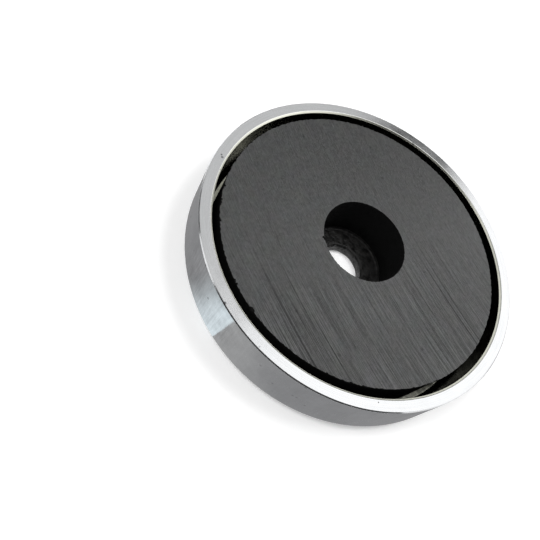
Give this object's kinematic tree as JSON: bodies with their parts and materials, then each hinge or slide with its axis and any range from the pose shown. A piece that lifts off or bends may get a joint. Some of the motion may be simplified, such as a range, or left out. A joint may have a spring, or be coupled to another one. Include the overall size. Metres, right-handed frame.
{
  "type": "pot magnet",
  "caption": "Round ferrite pot magnet: a ring magnet glued into a bright plated, deep-drawn steel cup, with a plain screw hole through the middle and a flat holding rim.",
  "frame": {"origin": "middle of the cup's closed back, on the surface that it lies on", "axes": "+Z along the magnet's axis, out of the open holding side; the part is round, so X and Y are any two square directions in the back"},
  "size_m": [0.08, 0.08, 0.016],
  "materials": {
    "plated_steel": "bright plated drawn steel, satin on the flat back, ground flat on the rim",
    "ferrite": "dark grey sintered ferrite with straight grinding marks on its face",
    "adhesive": "cured dark adhesive, uneven film"
  },
  "bodies": {
    "root": {"steel_cup": "plated_steel", "ferrite_ring": "ferrite", "adhesive_bed": "adhesive"}
  },
  "joints": []
}
